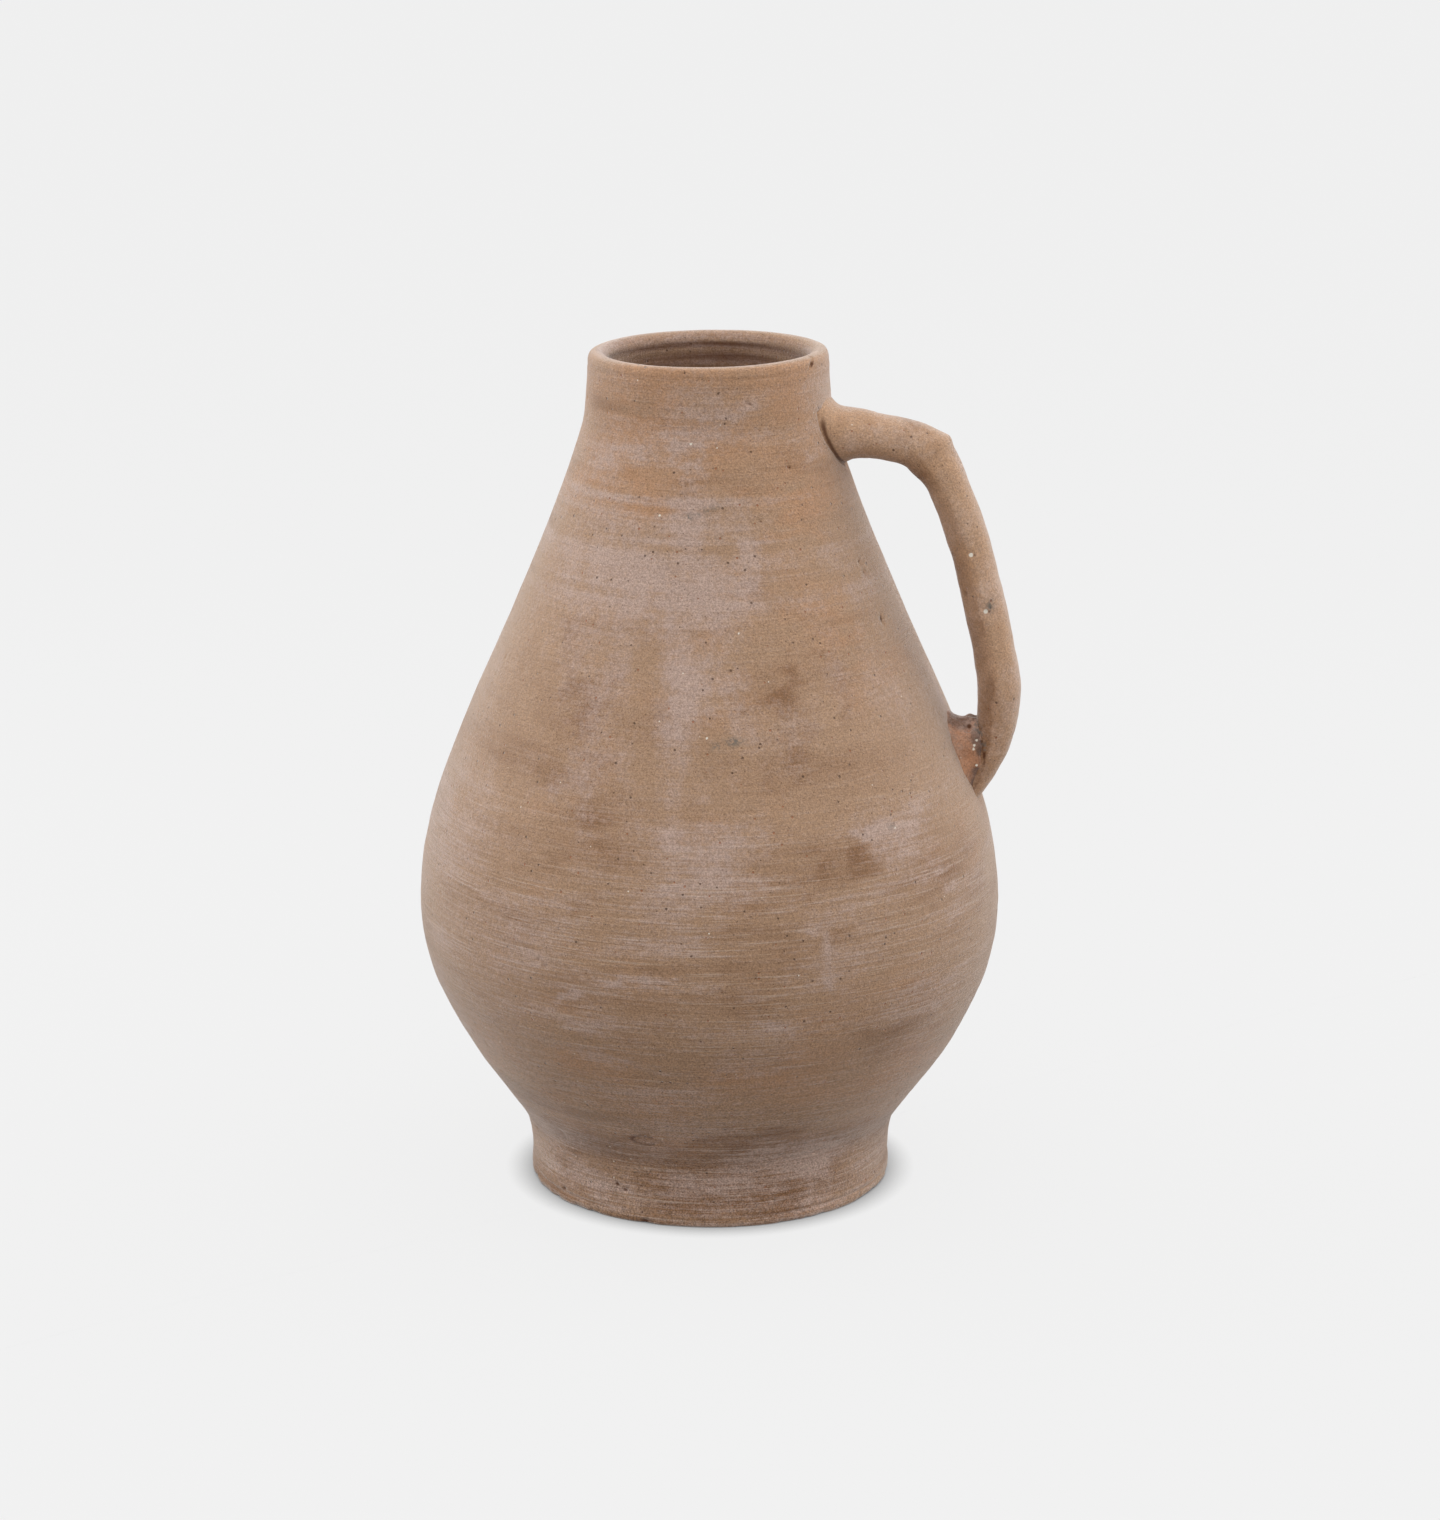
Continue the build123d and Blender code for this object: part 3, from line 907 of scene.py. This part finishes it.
def wad_tones(points):
    """The lower wad is redder than the rest, dark along its top, and darkened with painted shade along its
    crease.
    """
    flecked = layered(points, 5.0, 77, 4)
    top = smoothstep(210.0, 216.0, points[..., 2] + 3.0 * layered(points, 7.0, 79, 3))
    dust = 0.15 + 0.45 * layered(points, 7.0, 75, 3) + 0.3 * top
    ochre = 0.50 + 0.6 * layered(points, (6.0, 6.0, 9.0), 76, 4)
    # The crease term is painted shade
    umber_and_shade = 0.08 + 0.5 * flecked + 0.75 * top + 0.9 * crease_line(points, 3.0) * (0.8 + flecked)
    return np.clip(np.stack([dust, ochre, umber_and_shade], -1), 0.0, 1.0)


def handle_spots(points):
    """Soot, lime and hollow amounts for the handle and both wads; the hollow amount is painted shade in the
    chips, the pierced hole, the crease and the join with the neck.
    """
    x_at, y_at, z_at = np.moveaxis(points, -1, 0)
    near = y_at < 0.0
    limes = []
    hollows = []
    # Painted shade in each chip, with lime in the white chips
    for x, z, _, _ in WHITE_CHIPS:
        across, above = x_at - x, z_at - z
        hollows.append(0.75 * bell(np.hypot(across - 0.8, above + 0.7), 0.9))
        limes.append(np.exp(-((np.hypot(across + 0.8, above + 0.6) / 1.15) ** 4)))
    for x, z, size, _ in BARE_CHIPS:
        hollows.append(0.6 * bell(np.hypot(x_at - x, (z_at - z) * 0.7), size))
    for x, z in WAD_GRITS:
        limes.append(np.exp(-((np.hypot(x_at - x, z_at - z) / 0.75) ** 4)))
    # Painted shade in the pierced hole
    hollows.append(bell(np.hypot(x_at - WAD_HOLE[0], z_at - WAD_HOLE[1]), 1.4))
    x, z, _, _ = WHITE_CHIPS[1]
    smear = bell(np.hypot(x_at - x - 1.2, (z_at - z - 1.6) * 0.55), 1.7) * near
    ragged = 0.6 + 0.9 * layered(points, 2.6, 74, 3)
    upper = smoothstep(196.0, 206.0, z_at)
    # Painted shade along the crease beside the bottom wad
    crease_shade = crease_line(points, 1.1) * ragged * (0.5 + 0.5 * upper)
    sooty = 0.8 * crease_line(points, 2.2) * upper * (layered(points, 2.0, 88, 2) > 0.05)
    bearing, height, radius = polar(points)
    # Painted shade where the top wad meets the neck
    join_shade = 0.8 * bell(radius - wall_radius(height), 1.3) * (bearing < 3.0) * (height > 300.0)
    join_shade = join_shade * smoothstep(358.0, 350.0, height)
    soot = np.maximum(smear, sooty)
    lime = np.maximum.reduce(limes) * near
    hollow = np.maximum.reduce([np.maximum.reduce(hollows) * near, crease_shade, join_shade])
    return np.clip(np.stack([soot, lime, hollow], -1), 0.0, 1.0)


def paint(obj, tones, spots):
    """Stores the two colour fields on a mesh, from its own points."""
    mesh = obj.data
    points = np.empty(len(mesh.vertices) * 3)
    mesh.vertices.foreach_get("co", points)
    points = points.reshape(-1, 3) / MM
    for name, field in (("tones", tones), ("spots", spots)):
        values = np.ones((len(points), 4))
        values[:, :3] = field(points)
        layer = mesh.attributes.new(name, "FLOAT_COLOR", "POINT")
        layer.data.foreach_set("color", values.ravel())


def linear(hex_colour):
    """Linear RGBA from a hex colour as seen on screen."""
    parts = [int(hex_colour[i : i + 2], 16) / 255.0 for i in (0, 2, 4)]
    return tuple(c / 12.92 if c <= 0.04045 else ((c + 0.055) / 1.055) ** 2.4 for c in parts) + (1.0,)


class Nodes:
    """Short ways to build the nodes of a material or a world."""

    def __init__(self, owner):
        owner.use_nodes = True
        self.tree = owner.node_tree
        self.coordinates = self.add("ShaderNodeTexCoord").outputs

    def add(self, kind, inputs=None, **settings):
        """A node with its settings, and with its inputs linked or given a value."""
        node = self.tree.nodes.new(kind)
        for key, value in settings.items():
            setattr(node, key, value)
        for key, source in (inputs or {}).items():
            self.plug(source, node.inputs[key])
        return node

    def plug(self, source, socket):
        """Links a socket to another, or gives it a value."""
        if isinstance(source, bpy.types.NodeSocket):
            self.tree.links.new(source, socket)
        else:
            socket.default_value = source

    def scaled(self, size):
        """Position in units of size millimetres, or of a size for each axis."""
        sizes = (size,) * 3 if isinstance(size, (int, float)) else size
        scale = tuple(1.0 / (s * MM) for s in sizes)
        inputs = {"Vector": self.coordinates["Object"], "Scale": scale}
        return self.add("ShaderNodeMapping", inputs).outputs["Vector"]

    def noise(self, size, detail=3.0, rough=0.55):
        """Smooth noise from 0 to 1."""
        inputs = {"Vector": self.scaled(size), "Scale": 1.0, "Detail": detail, "Roughness": rough}
        return self.add("ShaderNodeTexNoise", inputs).outputs["Fac"]

    def parts(self, colour):
        """The red, green and blue of a colour."""
        node = self.add("ShaderNodeSeparateColor", {"Color": colour})
        return [node.outputs[channel] for channel in ("Red", "Green", "Blue")]

    def cells(self, size):
        """Distance to the nearest of scattered points, and two random values for each of them."""
        node = self.add("ShaderNodeTexVoronoi", {"Vector": self.scaled(size), "Scale": 1.0})
        return node.outputs["Distance"], *self.parts(node.outputs["Color"])[:2]

    def fields(self, name):
        """The three amounts that paint() stored under a name."""
        return self.parts(self.add("ShaderNodeAttribute", attribute_name=name).outputs["Color"])

    def math(self, operation, a, b=0.0, c=0.0, clamp=False):
        inputs = dict(enumerate((a, b, c)))
        return self.add("ShaderNodeMath", inputs, operation=operation, use_clamp=clamp).outputs[0]

    def times(self, a, b):
        return self.math("MULTIPLY", a, b)

    def plus(self, a, b):
        return self.math("ADD", a, b)

    def minus(self, a, b):
        return self.math("SUBTRACT", a, b)

    def swing(self, value, amount):
        """A value from 0 to 1 made to swing about 0 by an amount."""
        return self.times(self.minus(value, 0.5), amount)

    def span(self, value, low, high, to_low=0.0, to_high=1.0, ease="SMOOTHSTEP"):
        """A value moved from one range to another."""
        inputs = {"Value": value, "From Min": low, "From Max": high, "To Min": to_low, "To Max": to_high}
        return self.add("ShaderNodeMapRange", inputs, interpolation_type=ease).outputs["Result"]

    def mix(self, factor, a, b, blend="MIX"):
        """Colour a turned into b by a factor from 0 to 1."""
        inputs = {"Factor": factor, 6: a, 7: b}
        return self.add("ShaderNodeMix", inputs, data_type="RGBA", blend_type=blend).outputs[2]


# Colours of the marks that every clay has, as seen on screen. The pit browns are partly painted shade, the
# hollow brown is painted shade, and the umber brown also carries painted shade.
PALE_STREAK = "CDB8A6"
DARK_STREAK = "6F5440"
RED_PIT = "9A6242"
BROWN_PIT = "4A3426"
FINE_PIT = "5C4536"
LIME_WHITE = "E4DDD0"
SOOT_GREY = "61635F"
HOLLOW_SHADE_BROWN = "4F2A12"
CHALKY_SHEEN = "F4F0EE"
UMBER_AND_SHADE_BROWN = "7F5B3E"
FLOOR_GREY = "EFEFEF"


def clay(name, body, dusty, warm, dark, streaks, grit):
    """Unglazed fired clay: dusty bloom, warm and dark patches, throwing streaks, grits and pits, with
    painted shade in the dark patches, the pits and the hollows.
    """
    material = bpy.data.materials.new(name)
    n = Nodes(material)
    shader = n.tree.nodes["Principled BSDF"]
    dust, ochre, umber_and_shade = n.fields("tones")
    soot, lime, hollow = n.fields("spots")
    streak = n.span(n.noise((34.0, 34.0, 0.75), 3.0, 0.6), 0.30, 0.70)
    brushed = n.span(n.noise((22.0, 22.0, 1.7), 4.0, 0.65), 0.30, 0.70)
    grain = n.span(n.noise(0.75, 3.0, 0.8), 0.28, 0.72)
    mottle = n.span(n.noise(2.4, 5.0, 0.75), 0.30, 0.70)
    above = n.add("ShaderNodeSeparateXYZ", {0: n.coordinates["Object"]}).outputs["Z"]
    turned = n.span(above, 0.15, 0.22, streaks, 0.28 * streaks)

    colour = n.mix(n.span(ochre, 0.05, 0.95), linear(body), linear(warm))
    # Umber darkens towards the dark colour: darker clay and painted shade both
    colour = n.mix(n.times(n.span(umber_and_shade, 0.05, 1.0), 0.85), colour, linear(dark))
    bloom = n.plus(dust, n.swing(mottle, 0.55))
    bloom = n.plus(bloom, n.swing(streak, turned))
    bloom = n.plus(bloom, n.swing(brushed, turned))
    colour = n.mix(n.span(bloom, -0.1, 1.15, 0.0, 0.95), colour, linear(dusty))

    contrast = n.span(above, 0.05, 0.12, 1.05, 0.64)
    speckle = n.plus(1.0, n.swing(grain, contrast))
    colour = n.mix(1.0, colour, speckle, "MULTIPLY")
    pale_line = n.times(n.span(streak, 0.80, 1.0, 0.0, 0.5), turned)
    colour = n.mix(pale_line, colour, linear(PALE_STREAK))
    dark_line = n.times(n.span(streak, 0.0, 0.2, 0.4, 0.0), turned)
    colour = n.mix(dark_line, colour, linear(DARK_STREAK))

    # Scattered pits, some red and some dark brown: partly the clay's own colour, partly painted shade in
    # them; the fine pits below likewise
    near, chance, tint = n.cells(3.6)
    pit_size = n.span(chance, 0.40, 1.0, 0.06, 0.21)
    pit = n.math("SUBTRACT", 1.0, n.math("DIVIDE", near, n.math("MAXIMUM", pit_size, 0.001)), clamp=True)
    pit = n.times(pit, n.math("GREATER_THAN", chance, n.span(ochre, 0.0, 1.0, 0.60, 0.40)))
    pit = n.span(pit, 0.0, 0.5)
    pit_colour = n.mix(n.math("GREATER_THAN", tint, 0.45), linear(RED_PIT), linear(BROWN_PIT))
    colour = n.mix(n.times(pit, 0.75), colour, pit_colour)
    fine_near, fine_chance, _ = n.cells(1.9)
    fine = n.span(fine_near, 0.12, 0.2, 0.55, 0.0)
    fine = n.times(fine, n.math("GREATER_THAN", fine_chance, 0.62))
    colour = n.mix(fine, colour, linear(FINE_PIT))

    grit_near, grit_chance, _ = n.cells(9.0)
    speck = n.span(grit_near, 0.028, 0.045, 1.0, 0.0)
    speck = n.times(speck, n.math("LESS_THAN", grit_chance, grit))
    colour = n.mix(n.math("MAXIMUM", speck, n.span(lime, 0.45, 0.75)), colour, linear(LIME_WHITE))
    broken = n.span(n.noise(1.3, 3.0), 0.35, 0.6)
    colour = n.mix(n.times(n.times(soot, broken), 0.85), colour, linear(SOOT_GREY))
    # Painted shade in pits, creases, chips, the hole and the pot's inside
    colour = n.mix(n.span(hollow, 0.25, 0.9, 0.0, 0.9), colour, linear(HOLLOW_SHADE_BROWN))
    n.plug(colour, shader.inputs["Base Color"])

    rough = n.span(bloom, 0.0, 1.0, 0.80, 0.95)
    n.plug(n.minus(rough, n.times(pit, 0.1)), shader.inputs["Roughness"])
    shader.inputs["Specular IOR Level"].default_value = 0.25
    shader.inputs["Sheen Weight"].default_value = 0.75
    shader.inputs["Sheen Roughness"].default_value = 0.33
    shader.inputs["Sheen Tint"].default_value = linear(CHALKY_SHEEN)

    brushing = n.times(n.plus(streak, brushed), 0.5 * streaks)
    height = n.plus(n.times(grain, 0.35), brushing)
    height = n.plus(height, n.times(mottle, 0.4))
    height = n.minus(height, n.times(pit, 1.2))
    bump = n.add("ShaderNodeBump", {"Strength": 0.7, "Distance": 0.4 * MM, "Height": height})
    n.plug(bump.outputs["Normal"], shader.inputs["Normal"])
    return material


# Body colour, dusty bloom, warm patches, dark patches with painted shade, then how streaky and how gritty
# the clay is
materials = {
    "body_clay": clay("body_clay", "A6876D", "B59D91", "AE8768", UMBER_AND_SHADE_BROWN, 0.52, 0.5),
    "handle_clay": clay("handle_clay", "B49276", "C0A696", "AE8766", UMBER_AND_SHADE_BROWN, 0.15, 0.3),
    "wad_clay": clay("wad_clay", "A98067", "AE968A", "AF8062", "644C40", 0.12, 0.9),
}
slots = dict.fromkeys(pieces, "body_clay")
slots.update(handle="handle_clay", handle_top_wad="handle_clay", handle_bottom_wad="wad_clay")
fields = {
    "body_clay": (pot_tones, pot_spots),
    "handle_clay": (handle_tones, handle_spots),
    "wad_clay": (wad_tones, handle_spots),
}
for name, piece in pieces.items():
    paint(piece, *fields[slots[name]])
    piece.data.materials.append(materials[slots[name]])
    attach(piece, "root")
    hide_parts(name)


# Floor, lights and camera, in metres
FLOOR_HALF = 30.0
TOUCH_SHADE = 0.013


def pale_floor():
    """A wide pale floor that glows to keep an even tone, with a contact shadow painted into its glow by
    ambient occlusion and a little real shade under the pot.
    """
    corners = [(x * FLOOR_HALF, y * FLOOR_HALF, 0.0) for x, y in ((-1, -1), (1, -1), (1, 1), (-1, 1))]
    mesh = bpy.data.meshes.new("floor")
    mesh.from_pydata(corners, [], [(0, 1, 2, 3)])
    floor = add_object("floor", mesh)
    material = bpy.data.materials.new("floor")
    n = Nodes(material)
    n.tree.nodes.clear()
    grey = linear(FLOOR_GREY)
    matte = n.add("ShaderNodeBsdfDiffuse", {"Color": grey})
    # Painted contact shadow: ambient occlusion darkens the floor's glow near the pot
    contact_shadow = n.add("ShaderNodeAmbientOcclusion", {"Distance": TOUCH_SHADE, "Color": grey}, samples=8)
    glow = n.add("ShaderNodeEmission", {"Color": contact_shadow.outputs["Color"]})
    mix = n.add("ShaderNodeMixShader", {"Fac": 0.05, 1: glow.outputs[0], 2: matte.outputs[0]})
    n.add("ShaderNodeOutputMaterial", {"Surface": mix.outputs[0]})
    mesh.materials.append(material)
    floor.visible_diffuse = False
    floor.visible_glossy = False
    return floor


floor = pale_floor()


def studio_world():
    """Even light from above, warm and dim from below, brightest behind the pot, to the right."""
    world = bpy.data.worlds.new("studio")
    bpy.context.scene.world = world
    n = Nodes(world)
    background = n.tree.nodes["Background"]
    way = n.coordinates["Generated"]
    rise = n.add("ShaderNodeSeparateXYZ", {0: way}).outputs["Z"]
    ramp = n.add("ShaderNodeValToRGB", {"Fac": n.math("MULTIPLY_ADD", rise, 0.5, 0.5)})
    low, high = ramp.color_ramp.elements
    low.position, high.position = 0.34, 0.58
    low.color, high.color = (0.24, 0.20, 0.17, 1.0), (0.85, 0.85, 0.85, 1.0)
    n.plug(ramp.outputs["Color"], background.inputs["Color"])
    away = math.radians(FRONT + 165.0)
    inputs = {0: way, 1: (math.cos(away), math.sin(away), 0.0)}
    behind = n.add("ShaderNodeVectorMath", inputs, operation="DOT_PRODUCT")
    brighter = n.span(behind.outputs["Value"], -0.2, 0.7, 1.0, 1.7, ease="LINEAR")
    n.plug(brighter, background.inputs["Strength"])


studio_world()

AIM = Vector((0.0, 0.0, 0.19))


def softbox(name, bearing, elevation, distance, width, height, power):
    """Rectangular area light on a bearing, turned towards the middle of the pot."""
    light = bpy.data.lights.new(name, "AREA")
    light.shape = "RECTANGLE"
    light.size = width
    light.size_y = height
    light.energy = power
    obj = add_object(name, light)
    a, e = math.radians(bearing), math.radians(elevation)
    way = Vector((math.cos(a) * math.cos(e), math.sin(a) * math.cos(e), math.sin(e)))
    obj.location = AIM + way * distance
    obj.rotation_euler = way.to_track_quat("Z", "Y").to_euler()
    obj.visible_camera = False


softbox("left softbox", FRONT - 108.0, 12.0, 1.3, 0.9, 1.3, 8.5)
softbox("right softbox", FRONT + 108.0, 12.0, 1.3, 0.9, 1.3, 6.0)
softbox("overhead softbox", FRONT, 62.0, 1.6, 1.4, 1.4, 5.0)
softbox("front softbox", FRONT, 34.0, 1.5, 1.2, 1.2, 3.0)

# Camera at the photograph's viewing angle, 8 degrees round from square-on to the handle
CAMERA_DISTANCE = 1.833
CAMERA_HEIGHT = 0.688
CAMERA_SIDE = 0.0045
CAMERA_PITCH = 0.2638
CAMERA_ROLL = 0.0024
CAMERA_LENS = 99.87

camera_data = bpy.data.cameras.new("camera")
camera_data.lens = CAMERA_LENS
camera = add_object("camera", camera_data)
camera.matrix_world = (
    Matrix.Rotation(math.radians(FRONT + 90.0), 4, "Z")
    @ Matrix.Translation((CAMERA_SIDE, -CAMERA_DISTANCE, CAMERA_HEIGHT))
    @ Matrix.Rotation(math.pi / 2 - CAMERA_PITCH, 4, "X")
    @ Matrix.Rotation(CAMERA_ROLL, 4, "Z")
)
bpy.context.scene.camera = camera
bpy.context.scene.view_settings.view_transform = "Standard"
